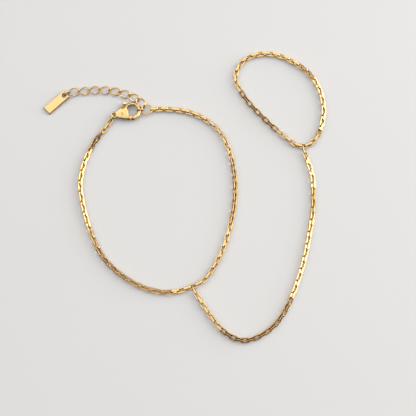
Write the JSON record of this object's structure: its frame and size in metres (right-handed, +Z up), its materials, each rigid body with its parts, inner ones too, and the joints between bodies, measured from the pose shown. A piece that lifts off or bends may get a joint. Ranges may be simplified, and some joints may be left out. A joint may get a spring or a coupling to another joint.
{
  "type": "hand chain bracelet",
  "caption": "Hand chain bracelet of fine flat-wire links: a clasped wrist chain with an extender and tag, a strand along the back of the hand, and a finger loop.",
  "frame": {"origin": "on the table, under the middle of the bracelet's outline as it lies", "axes": "+X to the right of the picture, +Y away from the viewer, +Z up from the table"},
  "size_m": [0.0873, 0.091, 0.0023],
  "materials": {
    "gold_chain": "gold plated, polished",
    "polished_gold": "gold plated, high polish"
  },
  "bodies": {
    "bracelet": {"wrist_chain": "gold_chain", "hand_chain": "gold_chain", "finger_chain": "gold_chain", "wrist_joining_link": "gold_chain", "finger_joining_link": "gold_chain", "end_ring": "polished_gold", "catch_ring": "gold_chain", "clasp_tail_ring": "gold_chain", "clasp_body": "polished_gold", "clasp_rivet": "gold_chain", "extender_link_1": "gold_chain", "extender_link_2": "gold_chain", "extender_link_3": "gold_chain", "extender_link_4": "gold_chain", "extender_link_5": "gold_chain", "extender_link_6": "gold_chain", "extender_link_7": "gold_chain", "extender_link_8": "gold_chain", "tag_ring": "gold_chain", "tag": "polished_gold"},
    "lever": {"clasp_lever": "polished_gold"}
  },
  "joints": [
    {"name": "lever_pivot", "type": "hinge", "parent": "bracelet", "child": "lever", "pos_m": [-0.01945, 0.02423, 0.00115], "axis": [0, 0, 1], "range_deg": [0, 20], "stiffness_Nm_per_rad": 0.001, "springref_deg": -28.65}
  ]
}
